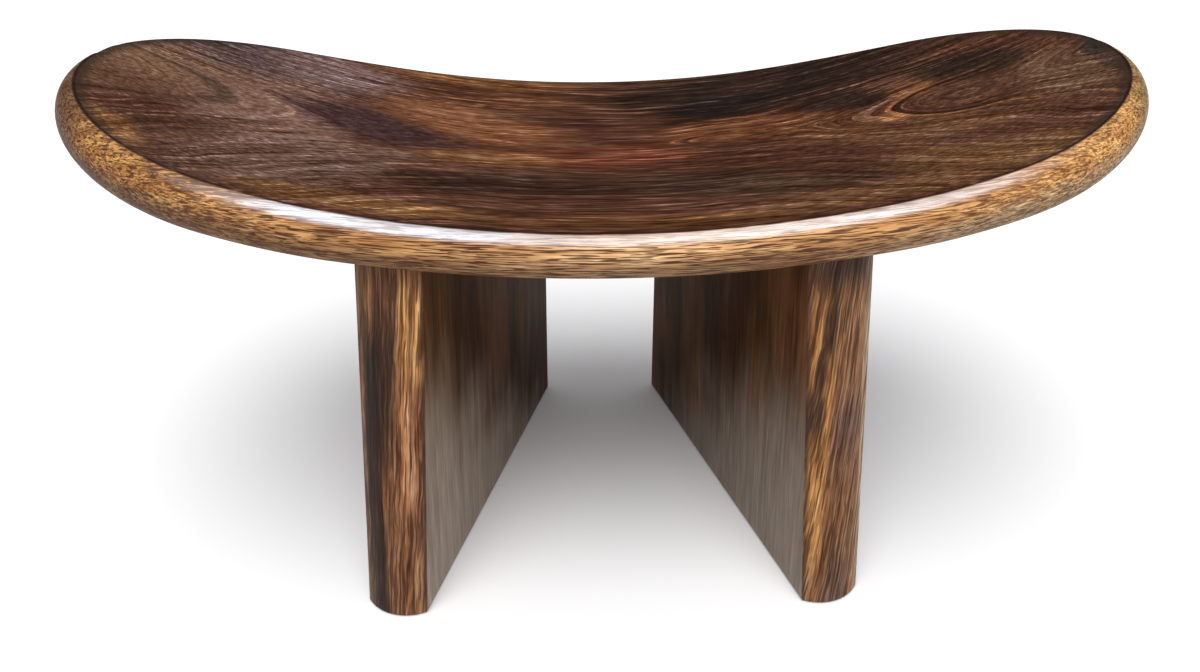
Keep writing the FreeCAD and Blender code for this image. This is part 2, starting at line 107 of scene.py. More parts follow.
class Sock:
    """A shader value. Arithmetic on it adds Math nodes, and its methods add the others."""

    def __init__(self, graph: "Graph", socket: NodeSocket | None) -> None:
        """Wrap one output socket of a graph."""
        self.graph = graph
        self.socket = socket

    __add__, __radd__ = arithmetic("ADD"), arithmetic("ADD", True)
    __sub__, __rsub__ = arithmetic("SUBTRACT"), arithmetic("SUBTRACT", True)
    __mul__, __rmul__ = arithmetic("MULTIPLY"), arithmetic("MULTIPLY", True)
    __truediv__, __rtruediv__ = arithmetic("DIVIDE"), arithmetic("DIVIDE", True)

    def math(self, operation: str, *values: "Sock | float") -> "Sock":
        """Apply a Math node to the given values in order."""
        return self.graph.node("Math", {"operation": operation}, dict(enumerate(values)))

    def size(self) -> "Sock":
        """Value without its sign."""
        return self.math("ABSOLUTE", self)

    def root(self) -> "Sock":
        """Square root."""
        return self.math("SQRT", self)

    def larger(self, other: "Sock | float") -> "Sock":
        """The larger of two values."""
        return self.math("MAXIMUM", self, other)

    def step(self, low: float, high: float, start: float = 0, end: float = 1) -> "Sock":
        """Ease smoothly from start to end as the value goes from low to high.

        Args:
            low, high: the stretch of the value over which the change happens.
            start, end: what comes out at low and at high, and past them.

        Returns:
            The eased value.
        """
        inputs = {"Value": self, "From Min": low, "From Max": high, "To Min": start, "To Max": end}
        return self.graph.node("MapRange", {"interpolation_type": "SMOOTHSTEP"}, inputs)

    def vector(self, operation: str, other: "Sock | Sequence[float]") -> "Sock":
        """Apply a Vector Math node to a vector or colour."""
        return self.graph.node("VectorMath", {"operation": operation}, {0: self, 1: other})

    def split(self) -> tuple["Sock", ...]:
        """Take a vector apart into X, Y and Z."""
        apart = self.graph.node("SeparateXYZ", None, {"Vector": self})
        return tuple(Sock(self.graph, output) for output in apart.socket.node.outputs)

    def stretched(self, lengths: tuple, seed: float, strides: tuple) -> "Sock":
        """Scale a place so that each length becomes 1, then shift it by the seed's strides."""
        scaled = self.vector("MULTIPLY", [1 / length for length in lengths])
        return scaled.vector("ADD", [seed * stride for stride in strides])

    def noise(self, lengths: tuple, seed: float = 0, detail: float = 2, rough: float = 0.5) -> "Sock":
        """Cloudy noise at a place in mm, stretched to a length along each axis.

        Args:
            lengths: feature size along X, Y and Z, in mm.
            seed: shifts the pattern, so that two uses differ.
            detail: how many finer layers are added.
            rough: how strong the finer layers are.

        Returns:
            A value around one half.
        """
        moved = self.stretched(lengths, seed, NOISE_STRIDES)
        inputs = {"Vector": moved, "Scale": 1, "Detail": detail, "Roughness": rough}
        return self.graph.node("TexNoise", None, inputs)

    def dashes(self, lengths: tuple, seed: float, thin: float, thick: float) -> "Sock":
        """Short dashes, one in each cell of a stretched grid: the wood's open pores.

        Args:
            lengths: cell size along X, Y and Z, in mm.
            seed: shifts the pattern.
            thin, thick: where a dash is full and where it ends, in cells from its middle.

        Returns:
            One on a dash and nought off it.
        """
        moved = self.stretched(lengths, seed, DASH_STRIDES)
        distance = self.graph.node("TexVoronoi", None, {"Vector": moved, "Scale": 1})
        return distance.step(thin, thick, 1, 0)

    def grained(self, value: "Sock", strength: float) -> "Sock":
        """Lighten and darken a colour along the grain, with yellower lights and redder darks.

        Args:
            value: the grain, around one half.
            strength: how strong the contrast is.

        Returns:
            The grained colour.
        """
        share = value * 2
        gains = [share.math("POWER", share, strength * tint) for tint in (0.74, 1, 1.26)]
        return self.vector("MULTIPLY", combine(*gains))

    def bump(self, depth_mm: float, strength: float = 1) -> "Sock":
        """Turn a height into a normal.

        Args:
            depth_mm: what a height of 1 stands for.
            strength: how far the normal follows it.

        Returns:
            The normal.
        """
        inputs = {"Height": self, "Distance": depth_mm * MM, "Strength": strength}
        return self.graph.node("Bump", None, inputs, "Normal")


class Graph:
    """The node tree of a material or world, built by typed calls."""

    def __init__(self, owner: Material | World) -> None:
        """Start with an empty tree."""
        owner.use_nodes = True
        self.owner = owner
        self.tree = owner.node_tree
        self.tree.nodes.clear()

    def node(
        self, kind: str, settings: dict | None = None, inputs: dict | None = None, output: int | str = 0
    ) -> Sock:
        """Add a node of any type.

        Args:
            kind: the node's type name, without its ShaderNode prefix.
            settings: properties to set first; "stops" fills a colour ramp.
            inputs: socket name or number to a value or another socket.
            output: which output to hand back.

        Returns:
            The chosen output.
        """
        made = self.tree.nodes.new(f"ShaderNode{kind}")
        for name, value in (settings or {}).items():
            if name == "stops":
                ramp = made.color_ramp.elements
                while len(ramp) < len(value):
                    ramp.new(1)
                for element, (place, colour) in zip(ramp, value):
                    element.position, element.color = place, colour
            else:
                setattr(made, name, value)
        for key, value in (inputs or {}).items():
            if isinstance(value, Sock):
                self.tree.links.new(value.socket, made.inputs[key])
            else:
                made.inputs[key].default_value = value
        return Sock(self, made.outputs[output] if made.outputs else None)

    def place_mm(self, centre: Vector = Vector(), turn: Euler = Euler()) -> Sock:
        """Object coordinates in mm, centred on and turned with a piece's own frame.

        Args:
            centre: the frame's origin, in metres.
            turn: the frame's rotation.

        Returns:
            The place as a vector.
        """
        here = self.node("TexCoord", None, None, "Object")
        inputs = {"Vector": here, "Location": centre, "Rotation": turn}
        local = self.node("Mapping", {"vector_type": "TEXTURE"}, inputs)
        return local.vector("MULTIPLY", [1 / MM] * 3)


def combine(*parts: Sock | float) -> Sock:
    """Make a vector of three values, at least one of them a shader value."""
    graph = next(part.graph for part in parts if isinstance(part, Sock))
    return graph.node("CombineXYZ", None, dict(zip("XYZ", parts)))


def mix(factor: Sock, first: Sock | Colour, second: Sock | Colour) -> Sock:
    """Blend two colours.

    Args:
        factor: share of the second colour.
        first, second: the colours.

    Returns:
        The blended colour.
    """
    return factor.graph.node("Mix", {"data_type": "RGBA"}, {0: factor, 6: first, 7: second}, 2)


@dataclass(frozen=True)
class Patch:
    """A stained or figured spot on the seat, or a patch of painted sky reflection: an oval with a ragged
    edge.
    """

    x_mm: float
    y_mm: float
    length_mm: float
    width_mm: float
    colour: Display
    strength: float = 1
    turn: float = 0

    def lay(self, under: Sock | Colour, x: Sock, y: Sock, ragged: Sock) -> Sock:
        """Lay the patch over a colour.

        Args:
            under: the colour below.
            x, y: the place, in mm.
            ragged: a value around nought that breaks up the oval's edge.

        Returns:
            The new colour.
        """
        cos, sin = math.cos(self.turn), math.sin(self.turn)
        along = ((x - self.x_mm) * cos + (y - self.y_mm) * sin) / self.length_mm
        across = ((y - self.y_mm) * cos - (x - self.x_mm) * sin) / self.width_mm
        away = (along * along + across * across).root() + ragged
        return mix(away.step(0.5, 1.1, self.strength, 0), under, tone(*self.colour))


@dataclass(frozen=True)
class Streak:
    """A soft band that runs down a leg's near edge: other-coloured wood, or painted shadow under the seat."""

    inward_mm: float
    slope: float
    start_mm: float
    end_mm: float
    width_mm: float
    colour: Display
    strength: float = 1
    fade_mm: float = 18

    def lay(self, under: Sock | Colour, inward: Sock, down: Sock, ragged: Sock) -> Sock:
        """Lay the band over a colour.

        Args:
            under: the colour below.
            inward: distance from the middle towards the inner face, in mm.
            down: distance below the joint, in mm.
            ragged: a length around nought that makes the band's edges wander.

        Returns:
            The new colour.
        """
        off = (inward - down * self.slope - self.inward_mm + ragged).size()
        across = off.step(self.width_mm * 0.55, self.width_mm * 1.25, self.strength, 0)
        begin = down.step(self.start_mm - self.fade_mm, self.start_mm + self.fade_mm)
        finish = down.step(self.end_mm - self.fade_mm, self.end_mm + self.fade_mm, 1, 0)
        return mix(across * begin * finish, under, tone(*self.colour))


@dataclass(frozen=True)
class Varnish:
    """The satin coat over every wood."""

    specular: float = 0.25
    coat_roughness: float = 0.2
    coat_ior: float = 1.5

    def finish(self, colour: Sock, roughness: Sock, coat: Sock, normal: Sock) -> Material:
        """Build a wood's surface shader and close its material.

        Args:
            colour, roughness: those of the bare wood.
            coat: how much varnish lies there.
            normal: the bumped normal.

        Returns:
            The material.
        """
        inputs = {
            "Base Color": colour,
            "Roughness": roughness,
            "Specular IOR Level": self.specular,
            "Coat Weight": coat,
            "Coat Roughness": self.coat_roughness,
            "Coat IOR": self.coat_ior,
            "Normal": normal,
        }
        graph = colour.graph
        graph.node("OutputMaterial", None, {"Surface": graph.node("BsdfPrincipled", None, inputs)})
        return graph.owner


# -------- the seat's wood


@dataclass(frozen=True)
class SeatWood:
    """Dark-stained top with its growth figure, and the golden rim where the stain is rubbed off."""

    pith_y_mm: float = 4
    left_ring_mm: float = -21
    right_ring_mm: float = -16
    varnish: Varnish = Varnish(specular=0.12, coat_roughness=0.22, coat_ior=2)
    ground: Colour = tone(80, 48, 33)
    heart_brown: Colour = tone(122, 91, 69)
    heart_ring: Colour = tone(68, 50, 40)
    loop_dark: Colour = tone(52, 33, 23)
    loop_light: Colour = tone(160, 104, 62)
    dark_line: Colour = tone(46, 27, 18)
    gold_gain: Triple = (3, 2.8, 2.4)
    rim_left: Colour = tone(188, 134, 79)
    rim_middle: Colour = tone(216, 166, 114)
    rim_right: Colour = tone(206, 148, 90)
    rim_ends: tuple[Colour, Colour] = tone(190, 134, 70), tone(222, 162, 92)
    # painted shade and reflection: the rim's lower band is darkened along most of its length as painted
    # shade, and paled at the right end as a painted floor reflection
    rim_low_shade_and_reflection: tuple[Colour, Colour] = tone(120, 88, 60), tone(176, 154, 120)
    # painted highlight tints for the band just below the crest: bluish on the left, lilac on the right
    painted_highlight_tints: tuple[Colour, Colour] = tone(210, 216, 234), tone(202, 194, 196)
    left_tip: Colour = tone(104, 80, 60)
    right_tip: Colour = tone(160, 138, 96)
    pore: Colour = tone(70, 34, 15)
    # painted shade of the dish's raised lip, just inside the crest at both tips
    painted_lip_shade: Colour = tone(50, 38, 30)
    crest_line: Colour = tone(36, 20, 14)
    # swellings in the log that bend its rings: X, Y, reach and swell, all in mm
    knots: tuple[Row, ...] = (152, 3, 34, -20), (-102, 7, 44, -6), (58, 10, 36, -6)
    knot_squash: float = 1.25
    patches: tuple[Patch, ...] = tuple(starmap(Patch, (
        (-190, 30, 36, 26, (122, 92, 72), 0.85),
        # the grey-lilac patches at x -152, -142, -128 and -124 are a painted sky reflection on the left third
        # of the top
        (-152, 60, 58, 32, (98, 79, 77), 0.9, -0.1),
        (-124, 66, 40, 24, (124, 97, 90), 0.75),
        (-142, 2, 44, 50, (128, 97, 82), 0.9),
        (-178, -42, 30, 15, (84, 58, 44), 0.8, 0.5),
        (-188, -58, 28, 11, (138, 96, 60), 0.85, -0.8),
        (-128, -48, 56, 30, (108, 82, 70), 0.85, 0.5),
        (-104, 8, 46, 22, (64, 41, 40), 1, -0.35),
        (-104, -19, 32, 6, (126, 98, 80), 0.6, -0.1),
        (-60, 26, 56, 24, (128, 82, 53), 0.9, -0.35),
        (-46, -15, 44, 10, (130, 88, 54), 0.85),
        (-40, 66, 66, 26, (92, 56, 36), 0.8),
        (-62, 84, 66, 10, (122, 79, 46), 0.8),
        (2, -9, 42, 14, (114, 62, 43), 0.85),
        (-12, 30, 18, 9, (66, 36, 32), 0.7),
        (-45, -42, 56, 18, (58, 37, 28), 0.9),
        (32, -45, 56, 17, (56, 37, 26), 0.85),
        (78, -56, 60, 12, (60, 40, 28), 0.75),
        (80, 66, 98, 36, (38, 25, 17), 0.97),
        (56, 46, 38, 18, (28, 19, 15), 1),
        (112, 27, 28, 16, (38, 25, 17), 0.95),
        (166, 33, 34, 18, (40, 27, 18), 0.97, -0.3),
        (62, 14, 46, 15, (118, 73, 45), 0.8),
        (102, 0, 28, 19, (100, 63, 40), 0.75),
        (130, -22, 54, 15, (98, 64, 40), 0.75, -0.3),
        (150, -66, 54, 18, (108, 75, 46), 0.85, -0.4),
        (158, 6, 28, 14, (74, 48, 32), 0.8),
        (140, 22, 14, 12, (120, 78, 48), 0.8, 0.7),
        (125, -3, 9, 6, (150, 97, 58), 0.85),
        (196, -8, 25, 34, (100, 73, 53), 0.9),
        (-96, -76, 56, 10, (120, 83, 50), 0.85, -0.05),
        (22, -80, 86, 8, (108, 70, 40), 0.8),
        (96, -75, 64, 12, (104, 70, 44), 0.8),
        (-212, 13, 8, 6, (44, 33, 27), 0.9),
        (211, 4, 7, 13, (52, 42, 35), 0.95),
        (211, -22, 5, 18, (66, 50, 38), 0.85, 0.25),
    )))

    def figure(self, place: Sock) -> tuple[Sock, Sock]:
        """The growth rings as the saw cut them: arrowheads that open towards both tips.

        Args:
            place: the place, in mm.

        Returns:
            The ring number as a length, and the place in the log's own stretch.
        """
        x, y, _ = place.split()
        sway = (place.noise((100, 60, 60), 1, 1) - 0.5) * 8
        across = y - self.pith_y_mm + sway * x.size().step(150, 80)
        spread = (across * across + x.step(-60, -130, 36, 230)).root()
        beyond = (x.size() - 55).larger(0)
        reach = (beyond * beyond + 1225).root() - 35
        steepness = y.step(-70, -20, 0.64, 0.46) - y.step(20, 60, 0, 0.3)
        radius = spread - reach * steepness
        for knot_x, knot_y, knot_reach, swell in self.knots:
            off_x, off_y = x - knot_x, (y - knot_y) * self.knot_squash
            radius = radius + (off_x * off_x + off_y * off_y).root().step(0, knot_reach, swell, 0)
        radius = radius + (place.noise((46, 14, 14), 2, 1) - 0.5) * 5
        return radius, combine(x, radius, y * 0.12)

    def top_colour(self, place: Sock, radius: Sock, log: Sock) -> Sock:
        """Colour of the stained top, with a painted sky reflection in the grey-lilac patches on its left
        third.

        Args:
            place: the place, in mm.
            radius: ring number as a length.
            log: the place in the log's own stretch.

        Returns:
            The colour.
        """
        x, y, _ = place.split()
        bands = log.noise((110, 5, 60), 3)
        streaks = log.noise((34, 1.5, 20), 4, 3, 0.6)
        fibres = place.noise((17, 1.15, 0.9), 5, 3, 0.6)
        ragged = (bands - 0.5) + (streaks - 0.5) * 0.9
        colour = self.ground
        for patch in self.patches:
            colour = patch.lay(colour, x, y, ragged)
        left = x.step(-130, -160)
        right = x.step(108, 122) * (y - 4).size().step(36, 20)
        heart = radius.step(self.left_ring_mm, self.left_ring_mm - 6) * left
        colour = mix(heart * y.step(-12, 20, 0.35, 0.8), colour, self.heart_brown)
        ring = (radius - self.left_ring_mm).size().step(0.8, 3.6, 0.8, 0) * left
        colour = mix(ring * y.step(-14, 2, 0.35, 1), colour, self.heart_ring)
        loop = (radius - (self.right_ring_mm - 4)).size().step(0.8, 3.4, 0.7, 0) * right
        colour = mix(loop * x.step(186, 150), colour, self.loop_dark)
        loop = (radius - self.right_ring_mm).size().step(0.2, 1.8, 0.85, 0) * right
        lit = x.step(200, 160) * y.step(6, 18, 1, 0.3)
        colour = mix(loop * lit, colour, self.loop_light)
        core = radius.step(self.right_ring_mm - 6, self.right_ring_mm - 10) * right
        calm = heart.larger(core * 0.3).larger(x.step(-40, -70) * (y - 8).size().step(30, 16))
        dark_lines = log.noise((34, 1.2, 20), 14).step(0.45, 0.39)
        colour = mix(dark_lines * (0.65 - calm * 0.45), colour, self.dark_line)
        gold = streaks.step(0.55, 0.68) * fibres.step(0.4, 0.6) * (0.6 - calm * 0.45)
        colour = mix(gold, colour, colour.vector("MULTIPLY", self.gold_gain))
        rings = bands * 0.34 + streaks * 0.42
        rings = rings + (0.38 - rings) * calm * 0.6
        return colour.grained(rings + fibres * 0.48 - 0.13, 4.5)

    def rim_colour(self, place: Sock, edge: Sock) -> tuple[Sock, Sock]:
        """Colour of the rubbed golden rim, with a painted highlight band below the crest, painted shade low
        down along most of it and a painted floor reflection low at its right end, and its open pores.

        Args:
            place: the place, in mm.
            edge: distance round the rim from the crest, in mm.

        Returns:
            The colour and the pores' mask.
        """
        x, _, _ = place.split()
        bands = place.noise((80, 5, 5), 6)
        drift = (bands - 0.5) * 2.4
        wavy = place.vector("ADD", combine(0, drift, drift - x * x * 0.00055))
        fibres = wavy.noise((15, 0.9, 0.9), 7, 3, 0.6)
        ends = x.size().step(130, 190)
        colour = mix(x.step(-90, 0), self.rim_left, self.rim_middle)
        colour = mix(x.step(20, 110), colour, self.rim_right)
        colour = mix(ends, colour, mix(x.step(-10, 10), *self.rim_ends))
        # painted shade low on the rim, turning into a painted floor reflection towards the right end
        low = edge.step(7.5, 17) * (x.step(-130, -190) * 0.4 + 1)
        colour = mix(low * 0.7, colour, mix(x.step(70, 150), *self.rim_low_shade_and_reflection))
        # painted highlight: a band just below the crest is paled towards the highlight tints, over the coat's
        # real reflection
        painted_highlight_band = edge.step(0, 0.9) * edge.step(3.2, 6.4, 1, 0)
        painted_highlight_band = painted_highlight_band * x.step(-105, -150, 1, 0) * x.step(110, 178, 1, 0)
        painted_highlight_strength = x.step(-70, 0, 0.96, 0.5) + x.step(30, 90, 0, 0.2)
        colour = mix(painted_highlight_band * painted_highlight_strength, colour, mix(x.step(-90, 10), *self.painted_highlight_tints))
        colour = mix(x.step(-190, -210, 0, 0.9), colour, self.left_tip)
        colour = mix(x.step(196, 212, 0, 0.72), colour, self.right_tip)
        colour = colour.grained(bands * 0.38 + fibres * 0.42 + 0.1, 2.6)
        long_pores = wavy.noise((26, 0.5, 0.5), 1, 1).step(0.475, 0.435)
        short_pores = wavy.noise((9, 0.45, 0.45), 2, 0).step(0.41, 0.35)
        pores = long_pores.larger(short_pores) * (1 - ends * 0.4)
        end_pores = wavy.noise((9, 1.1, 0.7), 3, 2, 0.55).step(0.52, 0.44)
        pores = pores.larger(end_pores * x.size().step(110, 160)) * fibres.step(0.45, 0.7, 1, 0.6)
        # pores are thinned under the painted highlight
        pores = pores * (1 - painted_highlight_band * 0.6) * x.step(60, 150, 1, 0.84)
        return mix(pores * 0.95, colour, self.pore), pores

    def build(self) -> Material:
        """Make the material."""
        graph = Graph(bpy.data.materials.new("seat_wood"))
        place = graph.place_mm()
        radius, log = self.figure(place)
        edge = graph.node("Attribute", {"attribute_name": "edge_mm"}, None, "Fac")
        x, _, _ = place.split()
        top = self.top_colour(place, radius, log)
        rim, pores = self.rim_colour(place, edge)
        frayed = edge + (place.noise((9, 2, 2), 9) - 0.5) * 0.9
        on_rim = frayed.step(0, 0.6) * edge.step(29, 37, 1, 0)
        colour = mix(on_rim, top, rim)
        # painted shade of the dish's lip, just inside the crest near the tips
        painted_lip_shade = edge.step(-6.5, -1.5) * (1 - on_rim) * x.size().step(120, 205)
        colour = mix(painted_lip_shade * 0.75, colour, self.painted_lip_shade)
        crest = (edge + 0.2).size().step(0.25, 1.1, 1, 0)
        crest = crest * place.noise((14, 14, 14), 10).step(0.35, 0.55, 0.5, 1)
        colour = mix(crest * 0.9, colour, self.crest_line)
        height = (1 - pores * (on_rim * 0.75 + 0.25)) * 0.6 + place.noise((20, 0.9, 0.9), 11) * 0.4
        roughness = place.noise((60, 10, 10), 12) * 0.16 + 0.4 + pores * 0.12
        shiny = edge.step(0, 0.8) * frayed.step(3.6, 6.6, 1, 0)
        shiny = shiny * x.step(-112, -160, 1, 0.2) * x.step(115, 182, 1, 0.25)
        coat = shiny * (x.step(-60, -110, 0.55, 0.66) - pores * 0.25) + on_rim * 0.07 + 0.03
        return self.varnish.finish(colour, roughness, coat, height.bump(0.12))


# -------- the legs' wood


@dataclass(frozen=True)
class LegWood:
    """Dark-stained leg, with bold upright grain on its near edge."""

    slant: float
    seed: float
    near_ground: Colour
    streaks: tuple[Streak, ...]
    # painted floor reflection: the grey the inner face takes low down
    painted_floor_sheen: Colour
    rubbed: float
    dome_pore: Colour = tone(48, 27, 17)
    dark_stain: Colour = tone(62, 37, 15)
    light_stain: Colour = tone(98, 64, 34)
    rubbed_colour: Colour = tone(106, 66, 40)
    corner_line: Colour = tone(56, 38, 34)
    varnish: Varnish = Varnish(specular=0.04, coat_roughness=0.28)

    def near_edge(self, inward: Sock, down: Sock, wander: Sock) -> Sock:
        """Colour of the domed near edge.

        Args:
            inward: distance from the middle towards the inner face, in mm.
            down: distance below the joint, in mm.
            wander: a length around nought that makes the grain wave.

        Returns:
            The colour.
        """
        ragged = (combine(inward, 0, down).noise((3, 3, 40), 31) - 0.5) * 6
        ragged = wander * 0.5 + ragged
        colour = self.near_ground
        for streak in self.streaks:
            colour = streak.lay(colour, inward, down, ragged)
        bent = combine(inward - down * self.slant + wander, 0, down)
        bands = bent.noise((4, 4, 90), self.seed + 1)
        lines = bent.noise((0.95, 0.95, 28), self.seed + 2, 3, 0.6)
        fibres = bent.noise((0.6, 0.6, 9), self.seed + 3)
        colour = colour.grained(bands * 0.24 + lines * 0.56 + fibres * 0.28 - 0.04, 3.8)
        pores = bent.noise((0.9, 0.9, 26), self.seed + 4, 1).step(0.48, 0.43)
        return mix(pores * 0.66, colour, self.dome_pore)

    def wide_face(self, place: Sock, along: Sock, down: Sock, painted_sheen_zone: Sock, inner: Sock) -> Sock:
        """Colour of the leg's wide faces and far edge, with a grey painted floor reflection low down on the
        inner face.

        Args:
            place: the place in the leg's own frame, in mm.
            along: distance from the middle towards the far edge, in mm.
            down: distance below the joint, in mm.
            painted_sheen_zone: one where the grey painted floor reflection lies, most at the near bottom
                corner.
            inner: one on the inner half of the leg.

        Returns:
            The colour.
        """
        bands = place.noise((9, 7, 120), self.seed + 5)
        lines = place.noise((2.2, 2.2, 60), self.seed + 6, 3, 0.6)
        fibres = place.noise((0.9, 0.9, 22), self.seed + 7)
        clouds = place.noise((30, 24, 120), self.seed + 8)
        colour = mix(clouds.step(0.4, 0.62), self.dark_stain, self.light_stain)
        # grey painted floor reflection low down on the inner face
        colour = mix(painted_sheen_zone * 0.95, colour, self.painted_floor_sheen)
        rubbed = (along - clouds * 24).step(-62, -76) * down.step(4, 26) * down.step(52, 84, 1, 0)
        rubbed = rubbed * inner * lines.step(0.35, 0.6, 0.25, 1)
        colour = mix(rubbed * self.rubbed, colour, self.rubbed_colour)
        return colour.grained(bands * 0.24 + lines * 0.34 + fibres * 0.42, 1.9)

    def build(self, leg: "Leg") -> Material:
        """Make the material of one leg, in that leg's own frame."""
        graph = Graph(bpy.data.materials.new(f"leg_wood_{leg.side.name.lower()}"))
        place = graph.place_mm(*leg.stance(leg.side.value))
        across, along, height = place.split()
        inward, down = across * -leg.side.value, height * -1
        wander = (combine(0, along, height).noise((30, 30, 24), self.seed) - 0.5) * 2.6
        on_dome = graph.node("Attribute", {"attribute_name": "dome"}, None, "Fac")
        inner = inward.step(10, 13)
        clouds = place.noise((34, 34, 44), self.seed + 12)
        lines = place.noise((9, 6, 90), self.seed + 13)
        ragged = (clouds - 0.5) * 50 + (lines - 0.5) * 45
        # where the painted floor reflection lies; the coat is also thicker there
        painted_sheen_zone = (down - (along + 78) * 0.78 - 48 + ragged).step(-24, 52) * inner
        near = self.near_edge(inward, down, wander)
        colour = mix(on_dome, self.wide_face(place, along, down, painted_sheen_zone, inner), near)
        corner = on_dome * inward.step(12.7, 13.9)
        colour = mix(corner * 0.7, colour, self.corner_line)
        pores = place.dashes((1.2, 1.2, 12), self.seed + 10, 0.17, 0.32)
        depth = place.noise((0.9, 0.9, 18), self.seed + 9) * 0.5 + (1 - pores) * 0.5
        roughness = place.noise((10, 10, 50), self.seed + 11) * 0.14 + 0.4
        coat = painted_sheen_zone * (1 - on_dome) * 0.7 + on_dome * 0.2
        return self.varnish.finish(colour, roughness, coat, depth.bump(0.1, 0.9))


# each leg was sawn from another board
LEG_WOODS = {
    Side.LEFT: LegWood(
        slant=-0.03,
        seed=3,
        near_ground=tone(124, 82, 54),
        # grey of the painted floor reflection low on the inner face
        painted_floor_sheen=tone(146, 126, 106),
        rubbed=0.15,
        streaks=tuple(starmap(Streak, (
            (10.5, 0, 0, 50, 5, (192, 138, 84), 0.95),
            (7, 0, 40, 118, 2.4, (158, 104, 66), 0.8),
            (11, 0, 60, 112, 1.5, (148, 104, 72), 0.6),
            (-1, 0, 24, 78, 4.4, (62, 41, 28), 0.9),
            (3, 0, 18, 46, 2.4, (58, 38, 26), 0.8),
            (-6.6, 0, 26, 220, 5.4, (44, 31, 24), 0.97),
            (-8, 0, 4, 24, 3.2, (132, 92, 54), 0.8),
            (-3, 0, 96, 124, 1.6, (126, 82, 54), 0.8),
            (-13.6, 0, 70, 220, 2.4, (108, 84, 68), 0.85),
            # painted shadow of the seat's rim across the top of the near edge
            (0, 0, -20, 4, 20, (70, 48, 32), 0.6, 8),
        ))),
    ),
    Side.RIGHT: LegWood(
        slant=0.12,
        seed=19,
        near_ground=tone(136, 94, 62),
        # grey of the painted floor reflection low on the inner face
        painted_floor_sheen=tone(124, 106, 89),
        rubbed=0.7,
        streaks=tuple(starmap(Streak, (
            (8.5, 0.03, 20, 150, 5.4, (168, 116, 66), 0.9),
            (3, 0.12, 8, 92, 2.6, (70, 48, 36), 0.9),
            (-3, 0, 62, 98, 7, (94, 68, 56), 0.85),
            (0, 0, 145, 220, 7, (92, 70, 58), 0.85),
            (-12.6, 0, -20, 220, 2.4, (168, 138, 106), 0.8),
            # painted shadow of the seat's rim across the top of the near edge
            (-1, 0, -20, 12, 11, (70, 50, 42), 0.95, 8),
        ))),
    ),
}


@dataclass(frozen=True)
class DowelWood:
    """Plain beech of the hidden dowels."""

    varnish: Varnish = Varnish()
    beech: tuple[tuple[float, Colour], ...] = (
        (0.3, tone(176, 138, 98)),
        (0.5, tone(204, 170, 126)),
        (0.7, tone(222, 192, 150)),
    )
    fleck: Colour = tone(140, 100, 66)

    def build(self) -> Material:
        """Make the material."""
        graph = Graph(bpy.data.materials.new("dowel_wood"))
        place = graph.place_mm()
        fibres = place.noise((0.8, 0.8, 16), 1, 3)
        colour = graph.node("ValToRGB", {"stops": self.beech}, {"Fac": fibres})
        flecks = place.dashes((0.7, 0.7, 3), 2, 0.15, 0.3)
        colour = mix(flecks * 0.5, colour, self.fleck)
        return self.varnish.finish(colour, fibres * 0.2 + 0.5, fibres * 0.1, fibres.bump(0.08))


# -------- the seat's shape


@dataclass(frozen=True)
class Station:
    """One cross-section of the seat's rim, in metres."""

    crest: Vector
    outward: Vector
    centre: Vector
    radius: float
    normal: Vector
    proud: Vector
    crest_angle: float


